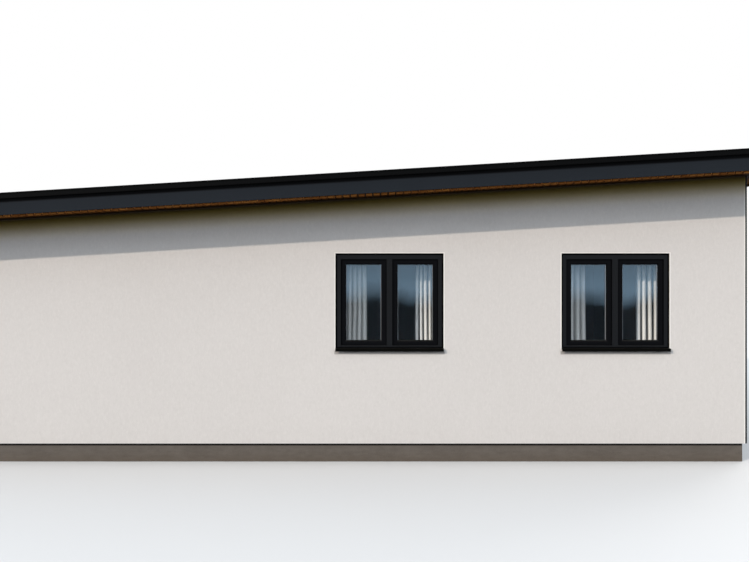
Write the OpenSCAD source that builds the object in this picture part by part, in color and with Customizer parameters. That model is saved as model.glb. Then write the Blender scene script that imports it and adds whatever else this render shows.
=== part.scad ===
// Single-storey house with a mono-pitch roof that rises towards +X.
// The origin is on the ground, in the middle of the walls. The front wall faces -Y.

/* [Building] */
// Length of the walls outside, along the slope of the roof
wall_l = 10400; // [9600:100:11600]
// Depth of the walls outside, across the slope
wall_d = 9200; // [8400:100:10400]
// Thickness of the walls
wall_t = 380; // [320:10:420]
// Height of the soffit over the ground at the high end wall
eaves_high_z = 3489; // [3420:1:3800]
// Pitch of the roof in degrees
roof_pitch = 3.4; // [2.5:0.1:4]

/* [Base] */
// Top of the foundation slab over the ground
slab_top = 110; // [90:5:130]
// Finished floor over the ground
floor_z = 170; // [150:5:190]
// Bottom edge of the wall render over the ground
render_z = 225; // [205:5:280]
// Setback of the plinth behind the wall face
plinth_setback = 25; // [15:1:40]
// Thickness of the plinth skin
plinth_t = 40; // [30:5:60]

/* [Window openings] */
// Width of a window opening
opening_w = 1320; // [1150:10:1500]
// Top of every opening over the ground
head_z = 2545; // [2460:1:2560]
// Top edge of the outer sill over the ground
sill_z = 1384; // [1200:1:1500]
// From a corner of the house to the nearest window
window_margin = 920; // [800:10:1100]
// Between two windows of a long wall
window_gap = 1438; // [1200:1:1700]

/* [Window frames] */
// Setback of the frame behind the wall face
frame_recess = 20; // [10:1:40]
// Depth of the frame
frame_depth = 75; // [68:1:90]
// Face of the frame seen from outside, at the sides
frame_face = 64; // [45:1:75]
// Face of the frame seen from outside, at the top
frame_head = 72; // [45:1:90]
// Face of the frame seen over the sill
frame_foot = 30; // [25:1:50]
// Face of the fixed post between the two sashes
mullion_face = 70; // [60:1:90]
// Depth of the front lip of the frame that the sash closes against
frame_lip = 20; // [15:1:30]
// Width of a sash member
sash_w = 74; // [68:1:90]
// Depth of a sash
sash_depth = 68; // [60:1:80]
// How far a sash laps behind the lip of the frame
sash_lap = 13; // [10:1:15]
// Splay round the glass on the outer face of a sash
glass_splay = 8; // [5:1:12]
// Thickness of the glazing unit
glass_t = 28; // [20:1:36]
// Length of the lever handle on the inner face of a sash
lever_l = 115; // [90:5:140]

/* [Window sills and boards] */
// Height of the front lip of the outer sill
sill_lip = 34; // [30:1:50]
// How far the outer sill stands out from the wall
sill_out = 40; // [30:1:60]
// Fall of the outer sill from the frame to its lip
sill_fall = 4; // [2:1:8]
// Thickness of the inner window board
board_t = 25; // [20:1:40]
// How far the inner window board stands out into the room
board_out = 30; // [20:1:60]

/* [Curtains] */
// Width of one drawn-back curtain
curtain_w = 345; // [250:5:450]
// Depth of the folds of a curtain
curtain_fold = 50; // [30:1:60]
// From the wall face to the middle of the curtain rail
rail_in = 335; // [200:5:340]
// Height of the curtain rail
rail_h = 18; // [12:1:30]

/* [Roof] */
// From a wall face to the face of the fascia
overhang = 600; // [450:10:750]
// Height of the roof edge, from the foot of the fascia to the top of the cap
edge_h = 250; // [235:1:300]
// Thickness of the fascia boards
fascia_t = 25; // [18:1:30]
// How far the fascia hangs below the soffit
fascia_drop = 6; // [0:1:15]
// Height of the metal cap over the verge
cap_h = 68; // [60:1:110]
// How far the foot of the cap stands out from the fascia
cap_out = 40; // [24:1:44]
// Thickness of the folded metal of caps and drips
sheet_t = 3; // [2:0.5:4]
// Thickness of the soffit
soffit_t = 20; // [15:1:28]
// Vent gap between the soffit and the wall
vent_gap = 13; // [8:1:20]
// Thickness of the roof panel, with its rafters and insulation
panel_t = 168; // [150:1:175]
// Thickness of the ceiling lining
lining_t = 15; // [12:1:25]

/* [Roof sheeting] */
// Thickness of the roof sheeting
sheeting_t = 5; // [3:1:8]
// Height of a standing seam
seam_h = 25; // [18:1:30]
// Width of a standing seam
seam_w = 10; // [8:1:16]
// Wanted distance between standing seams
seam_spacing = 490; // [400:10:600]

/* [High end] */
// Thickness of the dark cladding on the high end wall
cladding_t = 22; // [15:1:30]
// Width of the entrance doorway
door_w = 1100; // [1000:10:1300]
// Face of the entrance door frame
door_face = 70; // [60:1:90]
// Diameter of the pull handle of the entrance door
handle_d = 30; // [20:1:40]
// Length of the pull handle
handle_l = 1200; // [600:10:1500]

/* [Gutter and downpipe] */
// Radius of the half-round gutter
gutter_r = 70; // [60:1:75]
// Depth of the rim of the gutter below the roof panel
gutter_drop = 40; // [35:1:50]
// Wanted distance between gutter brackets
bracket_spacing = 800; // [600:10:1000]
// Outer diameter of the downpipe
pipe_d = 80; // [60:1:90]
// From the back corner of the house to the middle of the downpipe
pipe_margin = 260; // [200:10:400]
// Gap between the downpipe and the wall
pipe_gap = 30; // [20:1:60]
// Slope of the upper bend of the downpipe from upright, in degrees
neck_angle = 60; // [50:1:70]

/* [Hidden] */
$fn = 48;

render_colour = [0.87, 0.84, 0.81];
plinth_colour = [0.45, 0.43, 0.41];
anthracite = [0.17, 0.18, 0.20];
cap_colour = [0.08, 0.08, 0.09];
timber = [0.50, 0.31, 0.18];

// Room to let a cut run past the piece that it cuts
past = 50;
// Clearance at round seats
seat_gap = 0.3;

// Middle of each window of the two long walls, and of the two end walls
long_windows = [
  wall_l / 2 - window_margin - opening_w / 2,
  wall_l / 2 - window_margin - opening_w * 1.5 - window_gap
];
end_windows = [
  -(wall_d / 2 - window_margin - opening_w / 2),
  wall_d / 2 - window_margin - opening_w / 2
];

// Window heights: the opening in the wall starts on the bed of the sill
sill_bed = 13;
seat_z = sill_z - sill_bed;
frame_z = sill_z + sill_fall;
frame_h = head_z - frame_z;
// Clearance round a sash in the rebate of its frame
rebate_gap = 4;
pocket = sash_lap + rebate_gap;
light_w = (opening_w - 2 * frame_face - mullion_face) / 2;
light_h = frame_h - frame_head - frame_foot;
light_z = frame_z + frame_foot;
glass_w = light_w - 2 * (sash_w - sash_lap);
glass_h = light_h - 2 * (sash_w - sash_lap);
glass_z = light_z + sash_w - sash_lap;
glass_lap = 14;
glass_in = (sash_depth - glass_t) / 2;
// Lever handle on the sash member beside the post, at half height
rosette_w = 32;
rosette_h = 70;
rosette_t = 9;
lever_w = 20;
lever_t = 12;
lever_out = 36;

// Roof heights, square to the slope and counted from the underside of the soffit
panel_top = soffit_t + panel_t;
cap_top = edge_h - fascia_drop;
cap_foot = cap_top - cap_h;
// Roof ends along the slope, counted from the high end wall
slope_high = overhang / cos(roof_pitch);
slope_low = -(wall_l + overhang) / cos(roof_pitch);
// Half of the roof between the faces of the two verge fascias
verge_y = wall_d / 2 + overhang;
inner_y = verge_y - fascia_t;
seam_bays = round(2 * inner_y / seam_spacing);
seam_step = 2 * inner_y / seam_bays;

// Folds of the verge cap
cap_drip_h = 14;
cap_lip_h = 16;
cap_lip_out = 6;
cap_band_out = cap_out - 8;
cap_back = -fascia_t - 32;
cap_leg_foot = panel_top + sheeting_t + 10;
packer_out = cap_band_out - sheet_t;
packer_h = cap_h - cap_drip_h + 4;

// Gutter, in the frame of the roof
strap_t = 4;
strap_w = 25;
plate_t = 5;
gutter_t = 3;
gutter_x = slope_low - plate_t - strap_t - seat_gap - gutter_r + 1;
gutter_z = panel_top - gutter_drop;
bead_r = 8;
bead_x = -gutter_r + gutter_t / 2;
// Downpipe
pipe_r = pipe_d / 2;
pipe_t = 3;
pipe_y = wall_d / 2 - pipe_margin;
// Gutter brackets, with the outlet of the gutter half way between two of them
bracket_ys = [
  for (i = [-20 : 20])
    let (y = pipe_y + (i + 0.5) * bracket_spacing)
      if (abs(y) < verge_y - 80) y
];
pipe_x = -wall_l / 2 - pipe_gap - pipe_r;
spigot_h = 60;
spigot_r = pipe_r - pipe_t - seat_gap;
bend_r = 95;
neck_h = 70;
shoe_angle = 65;
shoe_l = 60;
foot_z = 120;
outlet_x = wall_l / 2 + gutter_x * cos(roof_pitch) - (gutter_z - gutter_r - 10) * sin(roof_pitch);
outlet_z = eaves_high_z + gutter_x * sin(roof_pitch)
  + (gutter_z - gutter_r - 10) * cos(roof_pitch);
neck_l = (pipe_x - outlet_x - neck_h * sin(roof_pitch)
  - bend_r * (1 + cos(roof_pitch) - 2 * cos(neck_angle))) / sin(neck_angle);
neck_foot_z = outlet_z - neck_h * cos(roof_pitch)
  - bend_r * (2 * sin(neck_angle) - sin(roof_pitch)) - neck_l * cos(neck_angle);
drop_l = neck_foot_z - foot_z - bend_r * sin(shoe_angle) - shoe_l * cos(shoe_angle);
clip_h = 25;
clip_zs = [foot_z + 350, neck_foot_z - 150];

// Entrance door
door_h = head_z - floor_z;
door_gap = 6;
leaf_w = door_w - 2 * door_face + 2 * sash_lap;
leaf_h = door_h - door_face + sash_lap - door_gap;
groove = 8;
handle_out = 55;

// Underside of the roof panel over a place along the house
function under_z(x) = eaves_high_z - (wall_l / 2 - x) * tan(roof_pitch)
  + soffit_t / cos(roof_pitch);

// Solid between two places along the house, under a line that follows the roof
module under_roof(x0, x1, y0, y1, z0, drop = 0) {
  translate([0, y1, 0]) rotate([90, 0, 0]) linear_extrude(y1 - y0)
    polygon([[x0, z0], [x1, z0], [x1, under_z(x1) - drop], [x0, under_z(x0) - drop]]);
}

// Frame of the roof: X runs up the slope from the high end wall, Z is square to the slope
module on_roof() {
  translate([wall_l / 2, 0, eaves_high_z]) rotate([0, -roof_pitch, 0]) children();
}

// Places on the four walls: X along the wall, Y into the house, Z up
module on_front() { for (x = long_windows) translate([x, -wall_d / 2, 0]) children(); }
module on_back() { for (x = long_windows) translate([-x, wall_d / 2, 0]) rotate(180) children(); }
module on_high_end() { for (y = end_windows) translate([wall_l / 2, y, 0]) rotate(90) children(); }
module on_low_end() { for (y = end_windows) translate([-wall_l / 2, y, 0]) rotate(-90) children(); }
module on_doorway() { translate([wall_l / 2, 0, 0]) rotate(90) children(); }

// Box that is centred along the wall
module wall_box(w, y0, y1, z0, z1) {
  translate([-w / 2, y0, z0]) cube([w, y1 - y0, z1 - z0]);
}

module window_cut() { wall_box(opening_w, -past, wall_t + past, seat_z, head_z); }
module door_cut() { wall_box(door_w, -past, wall_t + past, slab_top, head_z); }

// Strip round the foot of the walls that the plinth takes up
module plinth_rebate() {
  inset = plinth_setback + plinth_t;
  difference() {
    translate([-wall_l / 2 - past, -wall_d / 2 - past, 0])
      cube([wall_l + 2 * past, wall_d + 2 * past, render_z]);
    translate([-wall_l / 2 + inset, -wall_d / 2 + inset, -past])
      cube([wall_l - 2 * inset, wall_d - 2 * inset, render_z + 2 * past]);
  }
}

module foundation_slab() {
  inset = plinth_setback + plinth_t;
  color("silver") translate([-wall_l / 2 + inset, -wall_d / 2 + inset, 0])
    cube([wall_l - 2 * inset, wall_d - 2 * inset, slab_top]);
}

module plinth_render() {
  inset = plinth_setback + plinth_t;
  color(plinth_colour) difference() {
    translate([-wall_l / 2 + plinth_setback, -wall_d / 2 + plinth_setback, 0])
      cube([wall_l - 2 * plinth_setback, wall_d - 2 * plinth_setback, render_z]);
    translate([-wall_l / 2 + inset, -wall_d / 2 + inset, -past])
      cube([wall_l - 2 * inset, wall_d - 2 * inset, render_z + 2 * past]);
    on_doorway() door_cut();
  }
}

module floor_finish() {
  color("tan") translate([-wall_l / 2 + wall_t, -wall_d / 2 + wall_t, slab_top])
    cube([wall_l - 2 * wall_t, wall_d - 2 * wall_t, floor_z - slab_top]);
}

module front_wall() {
  color(render_colour) difference() {
    under_roof(-wall_l / 2, wall_l / 2, -wall_d / 2, -wall_d / 2 + wall_t, slab_top);
    plinth_rebate();
    on_front() window_cut();
  }
}

module back_wall() {
  color(render_colour) difference() {
    under_roof(-wall_l / 2, wall_l / 2, wall_d / 2 - wall_t, wall_d / 2, slab_top);
    plinth_rebate();
    on_back() window_cut();
  }
}

module low_end_wall() {
  color(render_colour) difference() {
    under_roof(-wall_l / 2, -wall_l / 2 + wall_t, -wall_d / 2 + wall_t, wall_d / 2 - wall_t, slab_top);
    plinth_rebate();
    on_low_end() window_cut();
  }
}

module high_end_wall() {
  color(render_colour) difference() {
    under_roof(wall_l / 2 - wall_t, wall_l / 2, -wall_d / 2 + wall_t, wall_d / 2 - wall_t, slab_top);
    plinth_rebate();
    on_high_end() window_cut();
    on_doorway() door_cut();
  }
}

module high_end_cladding() {
  color(anthracite) difference() {
    under_roof(wall_l / 2, wall_l / 2 + cladding_t, -wall_d / 2, wall_d / 2, render_z);
    on_high_end() window_cut();
    on_doorway() door_cut();
  }
}

module roof_panel() {
  color("burlywood") on_roof() translate([slope_low + fascia_t, -inner_y, soffit_t])
    cube([slope_high - slope_low - 2 * fascia_t, 2 * inner_y, panel_t]);
}

module ceiling_lining() {
  color("white") difference() {
    under_roof(-wall_l / 2 + wall_t, wall_l / 2 - wall_t, -wall_d / 2 + wall_t, wall_d / 2 - wall_t, head_z);
    under_roof(-wall_l / 2, wall_l / 2, -wall_d / 2, wall_d / 2, slab_top, lining_t);
  }
}

// Flat pans with a standing seam between them, and an upstand against each verge
module roof_sheeting() {
  color(anthracite) on_roof() translate([slope_low - cap_band_out, 0, 0]) rotate([90, 0, 90])
    linear_extrude(slope_high - slope_low - fascia_t + cap_band_out) {
      translate([-inner_y, panel_top]) square([2 * inner_y, sheeting_t]);
      for (i = [1 : seam_bays - 1])
        translate([-inner_y + i * seam_step - seam_w / 2, panel_top])
          square([seam_w, sheeting_t + seam_h]);
      for (side = [-1, 1])
        translate([side * (inner_y - sheeting_t / 2) - sheeting_t / 2, panel_top])
          square([sheeting_t, cap_top - panel_top - sheet_t]);
    }
}

// Soffit beside a long wall, past both ends of the house
module long_soffit() {
  on_roof() translate([slope_low + fascia_t, wall_d / 2 + vent_gap, 0])
    cube([slope_high - slope_low - 2 * fascia_t, inner_y - wall_d / 2 - vent_gap, soffit_t]);
}

module front_soffit() { color(timber) mirror([0, 1, 0]) long_soffit(); }
module back_soffit() { color(timber) long_soffit(); }

module low_end_soffit() {
  color(timber) on_roof() translate([slope_low + fascia_t, -wall_d / 2 - vent_gap, 0])
    cube([(overhang - vent_gap) / cos(roof_pitch) - fascia_t, wall_d + 2 * vent_gap, soffit_t]);
}

module high_end_soffit() {
  start = (cladding_t + vent_gap) / cos(roof_pitch);
  color(timber) on_roof() translate([start, -wall_d / 2 - vent_gap, 0])
    cube([slope_high - fascia_t - start, wall_d + 2 * vent_gap, soffit_t]);
}

// Section of a fascia with the packer behind its cap: X outwards from its face, Y up
module fascia_section() {
  polygon([
    [-fascia_t, -fascia_drop], [0, -fascia_drop], [0, cap_top - packer_h],
    [packer_out, cap_top - packer_h], [packer_out, cap_top - sheet_t], [-fascia_t, cap_top - sheet_t]
  ]);
}

// Outline of the metal cap over a fascia: X outwards from the fascia, Y up
module cap_outline() {
  polygon([
    [cap_out, cap_foot],
    [cap_band_out, cap_foot + cap_drip_h],
    [cap_band_out, cap_top - cap_lip_h],
    [cap_band_out + cap_lip_out, cap_top - cap_lip_h],
    [cap_band_out + cap_lip_out, cap_top],
    [cap_back, cap_top],
    [cap_back, cap_leg_foot],
    [-fascia_t, cap_leg_foot],
    [-fascia_t, cap_foot]
  ]);
}

// Section of the folded metal of the cap
module cap_section() {
  difference() {
    cap_outline();
    polygon([
      [cap_out - sheet_t, cap_foot - 1],
      [cap_out - sheet_t, cap_foot],
      [packer_out, cap_foot + cap_drip_h],
      [packer_out, cap_top - sheet_t],
      [cap_back + sheet_t, cap_top - sheet_t],
      [cap_back + sheet_t, cap_foot - 1]
    ]);
  }
}

// Half space past a corner mitre at the given place along an edge
module past_mitre(at) {
  reach = 2 * edge_h;
  translate([at, 0, -reach]) rotate(-45) translate([0, -reach, 0]) cube([reach, 2 * reach, 2 * reach]);
}

// Section swept up a verge, square at the low end and mitred at the high end
module verge_run(low_end) {
  on_roof() translate([0, verge_y, 0]) difference() {
    translate([low_end, 0, 0]) rotate([90, 0, 90])
      linear_extrude(slope_high - low_end + cap_out) children();
    past_mitre(slope_high);
  }
}

// Section swept along the high end, mitred at both corners
module high_end_run() {
  on_roof() translate([slope_high, 0, 0]) rotate(-90) difference() {
    translate([-verge_y - cap_out, 0, 0]) rotate([90, 0, 90])
      linear_extrude(2 * (verge_y + cap_out)) children();
    for (side = [0, 1]) mirror([side, 0, 0]) past_mitre(verge_y);
  }
}

module front_fascia() { color(anthracite) mirror([0, 1, 0]) verge_run(slope_low) fascia_section(); }
module back_fascia() { color(anthracite) verge_run(slope_low) fascia_section(); }
module high_end_fascia() { color(anthracite) high_end_run() fascia_section(); }

module low_end_fascia() {
  color(anthracite) on_roof() translate([slope_low, -inner_y, -fascia_drop])
    cube([fascia_t, 2 * inner_y, fascia_drop + panel_top - sheet_t]);
}

// Cap up a verge, closed at the low end by a plate
module back_verge_cap() {
  low_end = slope_low - cap_out;
  color(cap_colour) {
    verge_run(low_end) cap_section();
    on_roof() translate([low_end, verge_y, 0]) rotate([90, 0, 90]) linear_extrude(sheet_t) cap_outline();
  }
}

module front_verge_cap() { mirror([0, 1, 0]) back_verge_cap(); }
module high_end_cap() { color(cap_colour) high_end_run() cap_section(); }

// Folded drip that lies on the low fascia and hangs in front of it, into the gutter
module eave_drip() {
  color(cap_colour) on_roof() translate([slope_low, inner_y, 0]) rotate([90, 0, 0])
    linear_extrude(2 * inner_y) polygon([
      [fascia_t, panel_top - sheet_t], [fascia_t, panel_top], [-cap_band_out, panel_top],
      [-cap_band_out - 4, panel_top - gutter_drop - 6],
      [-cap_band_out - 4 + sheet_t, panel_top - gutter_drop - 6],
      [-cap_band_out + sheet_t, panel_top - sheet_t]
    ]);
}

// Half ring that hangs open side up
module half_ring(r_out, r_in) {
  difference() {
    circle(r_out);
    circle(r_in);
    translate([-2 * r_out, 0]) square([4 * r_out, 2 * r_out]);
  }
}

module gutter() {
  color(cap_colour) on_roof() translate([gutter_x, 0, gutter_z]) {
    difference() {
      union() {
        translate([0, verge_y, 0]) rotate([90, 0, 0]) linear_extrude(2 * verge_y) {
          half_ring(gutter_r, gutter_r - gutter_t);
          translate([bead_x, 0]) circle(bead_r);
          translate([gutter_r - gutter_t, 0]) square([gutter_t, 15]);
        }
        for (side = [-1, 1]) translate([0, side * (verge_y - gutter_t / 2) + gutter_t / 2, 0])
          rotate([90, 0, 0]) linear_extrude(gutter_t) half_ring(gutter_r, gutter_t / 2);
        translate([0, pipe_y, -gutter_r - spigot_h]) cylinder(r = spigot_r, h = spigot_h + gutter_t);
      }
      translate([0, pipe_y, -gutter_r - spigot_h - past])
        cylinder(r = spigot_r - pipe_t, h = spigot_h + gutter_r + past);
    }
  }
}

// Strap under the gutter, from its bead to a plate on the fascia
module gutter_brackets() {
  color(cap_colour) on_roof() for (y = bracket_ys)
    translate([gutter_x, y + strap_w / 2, gutter_z]) rotate([90, 0, 0]) linear_extrude(strap_w)
      difference() {
        union() {
          half_ring(gutter_r + seat_gap + strap_t, gutter_r + seat_gap);
          translate([gutter_r + seat_gap, -gutter_r]) square([strap_t, gutter_r]);
          translate([slope_low - gutter_x - plate_t, -gutter_r]) square([plate_t, gutter_r + 10]);
        }
        translate([bead_x, 0]) circle(bead_r + seat_gap);
      }
}

// Straight pipe that hangs down from here, clear of its neighbours, with the next piece at its foot
module pipe_run(l) {
  translate([0, 0, seat_gap - l]) difference() {
    cylinder(r = pipe_r, h = l - 2 * seat_gap);
    translate([0, 0, -1]) cylinder(r = pipe_r - pipe_t, h = l);
  }
  translate([0, 0, -l]) children();
}

// Bend from straight down towards +X, with the next piece at its end
module pipe_bend(angle) {
  translate([bend_r, 0, 0]) rotate([90, 0, 0]) rotate(180) rotate_extrude(angle = angle)
    translate([bend_r, 0]) difference() {
      circle(pipe_r);
      circle(pipe_r - pipe_t);
    }
  translate([bend_r * (1 - cos(angle)), 0, -bend_r * sin(angle)]) rotate([0, -angle, 0]) children();
}

// The same bend towards -X
module pipe_bend_back(angle) {
  mirror([1, 0, 0]) pipe_bend(angle) mirror([1, 0, 0]) children();
}

module downpipe() {
  color(cap_colour) translate([outlet_x, pipe_y, outlet_z]) rotate([0, -roof_pitch, 0])
    pipe_run(neck_h) pipe_bend(neck_angle - roof_pitch) pipe_run(neck_l) pipe_bend_back(neck_angle)
      pipe_run(drop_l) pipe_bend_back(shoe_angle) pipe_run(shoe_l);
}

// Ring round the downpipe with a stem to the wall
module downpipe_clips() {
  color(cap_colour) for (z = clip_zs) translate([pipe_x, pipe_y, z]) difference() {
    union() {
      cylinder(r = pipe_r + seat_gap + strap_t, h = clip_h);
      translate([0, -clip_h / 2, 0]) cube([pipe_r + pipe_gap, clip_h, clip_h]);
    }
    translate([0, 0, -1]) cylinder(r = pipe_r + seat_gap, h = clip_h + 2);
  }
}

module rainwater_brackets() {
  gutter_brackets();
  downpipe_clips();
}

// The two lights of a window, each drawn about its own middle
module each_light() {
  for (side = [-1, 1]) translate([side * (light_w + mullion_face) / 2, 0, 0]) children();
}

module window_frame() {
  difference() {
    wall_box(opening_w, frame_recess, frame_recess + frame_depth, frame_z, head_z);
    each_light() {
      wall_box(light_w, frame_recess - past, frame_recess + frame_depth + past, light_z, light_z + light_h);
      wall_box(light_w + 2 * pocket, frame_recess + frame_lip, frame_recess + frame_depth + past,
        light_z - pocket, light_z + light_h + pocket);
    }
  }
}

module window_glass() {
  front = frame_recess + frame_lip + glass_in;
  each_light() wall_box(glass_w + 2 * glass_lap, front, front + glass_t,
    glass_z - glass_lap, glass_z + glass_h + glass_lap);
}

// Space in front of the glass, splayed on all four sides
module glass_splays() {
  front = frame_recess + frame_lip - 1;
  back = frame_recess + frame_lip + glass_splay;
  wide = glass_splay + 1;
  intersection() {
    translate([0, 0, glass_z - past]) linear_extrude(glass_h + 2 * past) polygon([
      [-glass_w / 2 - wide, front], [glass_w / 2 + wide, front], [glass_w / 2, back], [-glass_w / 2, back]
    ]);
    translate([-glass_w, 0, 0]) rotate([90, 0, 90]) linear_extrude(2 * glass_w) polygon([
      [front, glass_z - wide], [back, glass_z], [back, glass_z + glass_h], [front, glass_z + glass_h + wide]
    ]);
  }
}

// Lever handle on the inner face of a sash, drawn about the middle of its rosette
module lever_handle() {
  wall_box(rosette_w, seat_gap, rosette_t, -rosette_h / 2, rosette_h / 2);
  translate([0, seat_gap, 0]) rotate([-90, 0, 0]) cylinder(d = lever_w - 2, h = lever_out + lever_t / 2);
  wall_box(lever_w, lever_out, lever_out + lever_t, lever_w / 2 - lever_l, lever_w / 2);
}

module window_sashes() {
  front = frame_recess + frame_lip;
  difference() {
    each_light() difference() {
      wall_box(light_w + 2 * sash_lap, front, front + sash_depth, light_z - sash_lap, light_z + light_h + sash_lap);
      wall_box(glass_w, front - past, front + sash_depth + past, glass_z, glass_z + glass_h);
      glass_splays();
    }
    window_glass();
  }
  for (side = [-1, 1])
    translate([side * (mullion_face / 2 - sash_lap + sash_w / 2), front + sash_depth, glass_z + glass_h / 2])
      lever_handle();
}

// Folded metal sill on its bed, under the whole depth of the frame
module window_sill(finish = 0) {
  out = -sill_out - finish;
  back = frame_recess + frame_depth;
  translate([-opening_w / 2, 0, 0]) rotate([90, 0, 90]) linear_extrude(opening_w) polygon([
    [out, sill_z - sill_lip], [out, sill_z], [frame_recess, frame_z], [back, frame_z],
    [back, seat_z], [-finish, seat_z], [-finish, sill_z - sheet_t],
    [out + sheet_t, sill_z - sheet_t], [out + sheet_t, sill_z - sill_lip]
  ]);
}

module window_board() {
  wall_box(opening_w, frame_recess + frame_depth, wall_t + board_out, seat_z, seat_z + board_t);
}

module curtain_rail() {
  wall_box(opening_w, rail_in - rail_h / 2, rail_in + rail_h / 2, head_z - rail_h, head_z);
}

module curtain_pair() {
  foot = seat_z + board_t + 20;
  for (side = [-1, 1]) translate([side * (opening_w / 2 - 8 - curtain_w / 2), 0, 0])
    wall_box(curtain_w, rail_in - curtain_fold / 2, rail_in + curtain_fold / 2,
      foot, head_z - rail_h - seat_gap);
}

module front_window_frames() { color(anthracite) on_front() window_frame(); }
module front_window_sashes() { color(anthracite) on_front() window_sashes(); }
module front_window_glass() { color("lightblue") on_front() window_glass(); }
module front_window_sills() { color(anthracite) on_front() window_sill(); }
module back_window_frames() { color(anthracite) on_back() window_frame(); }
module back_window_sashes() { color(anthracite) on_back() window_sashes(); }
module back_window_glass() { color("lightblue") on_back() window_glass(); }
module back_window_sills() { color(anthracite) on_back() window_sill(); }

module on_both_ends() {
  on_low_end() children();
  on_high_end() children();
}

module end_window_frames() { color(anthracite) on_both_ends() window_frame(); }
module end_window_sashes() { color(anthracite) on_both_ends() window_sashes(); }
module end_window_glass() { color("lightblue") on_both_ends() window_glass(); }

module end_window_sills() {
  color(anthracite) {
    on_low_end() window_sill();
    on_high_end() window_sill(cladding_t);
  }
}

module on_all_windows() {
  on_front() children();
  on_back() children();
  on_both_ends() children();
}

module window_boards() { color("white") on_all_windows() window_board(); }
module curtain_rails() { color("white") on_all_windows() curtain_rail(); }
module curtains() { color("white") on_all_windows() curtain_pair(); }

module entrance_threshold() {
  color("gray") on_doorway() wall_box(door_w, -cladding_t - 10, wall_t, slab_top, floor_z);
}

module entrance_door_frame() {
  aperture = door_w - 2 * door_face;
  color(anthracite) on_doorway() difference() {
    wall_box(door_w, frame_recess, frame_recess + frame_depth, floor_z, head_z);
    wall_box(aperture, frame_recess - past, frame_recess + frame_depth + past, floor_z - past, head_z - door_face);
    wall_box(aperture + 2 * pocket, frame_recess + frame_lip, frame_recess + frame_depth + past,
      floor_z - past, head_z - door_face + pocket);
  }
}

// Flush leaf with shallow grooves across its outer face
module entrance_door_leaf() {
  front = frame_recess + frame_lip;
  color(anthracite) on_doorway() difference() {
    wall_box(leaf_w, front, front + sash_depth, floor_z + door_gap, floor_z + door_gap + leaf_h);
    for (i = [1 : 4])
      wall_box(leaf_w - 4 * sash_w, front - past, front + groove / 2,
        floor_z + i * leaf_h / 5, floor_z + i * leaf_h / 5 + groove);
  }
}

module entrance_door_handle() {
  front = frame_recess + frame_lip;
  x = leaf_w / 2 - sash_lap - 60;
  z = floor_z + leaf_h / 2;
  color("silver") on_doorway() translate([x, front, z]) {
    translate([0, -handle_out, -handle_l / 2]) cylinder(d = handle_d, h = handle_l);
    for (side = [-1, 1]) translate([0, 0, side * handle_l * 0.35])
      rotate([90, 0, 0]) cylinder(d = handle_d * 0.6, h = handle_out);
  }
}

foundation_slab();
plinth_render();
floor_finish();
front_wall();
back_wall();
low_end_wall();
high_end_wall();
high_end_cladding();
roof_panel();
ceiling_lining();
roof_sheeting();
front_soffit();
back_soffit();
low_end_soffit();
high_end_soffit();
front_fascia();
back_fascia();
low_end_fascia();
high_end_fascia();
front_verge_cap();
back_verge_cap();
high_end_cap();
eave_drip();
gutter();
downpipe();
rainwater_brackets();
front_window_frames();
front_window_sashes();
front_window_glass();
front_window_sills();
back_window_frames();
back_window_sashes();
back_window_glass();
back_window_sills();
end_window_frames();
end_window_sashes();
end_window_glass();
end_window_sills();
window_boards();
curtain_rails();
curtains();
entrance_threshold();
entrance_door_frame();
entrance_door_leaf();
entrance_door_handle();
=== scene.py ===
import math
import random

import bmesh
import bpy
from mathutils import Matrix, Vector


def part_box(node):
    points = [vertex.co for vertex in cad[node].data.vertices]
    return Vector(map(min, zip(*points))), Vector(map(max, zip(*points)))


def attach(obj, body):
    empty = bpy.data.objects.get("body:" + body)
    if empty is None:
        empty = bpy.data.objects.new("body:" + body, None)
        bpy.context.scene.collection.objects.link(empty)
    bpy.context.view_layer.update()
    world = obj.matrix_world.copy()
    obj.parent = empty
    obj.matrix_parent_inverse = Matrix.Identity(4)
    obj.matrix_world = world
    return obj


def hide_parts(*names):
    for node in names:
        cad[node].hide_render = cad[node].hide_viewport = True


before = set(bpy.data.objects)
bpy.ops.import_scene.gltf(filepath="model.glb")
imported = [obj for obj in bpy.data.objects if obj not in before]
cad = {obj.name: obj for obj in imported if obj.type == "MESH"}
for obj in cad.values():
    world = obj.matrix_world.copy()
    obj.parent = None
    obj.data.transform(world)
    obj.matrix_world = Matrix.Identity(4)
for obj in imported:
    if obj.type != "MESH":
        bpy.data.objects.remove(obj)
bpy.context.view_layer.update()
scene = bpy.context.scene
scene.view_settings.view_transform = "Standard"

# Camera: level at eye height on the long side, square to the front wall. The house is wider
# than the picture, so the low end of the wall runs out at its left edge.
lens = bpy.data.cameras.new("camera")
lens.sensor_width = 36
lens.lens = 37.05
camera = bpy.data.objects.new("camera", lens)
camera.location = (0.679, -14.0, 2.207)
camera.rotation_euler = (math.radians(90), 0, 0)
scene.collection.objects.link(camera)
scene.camera = camera


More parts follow.
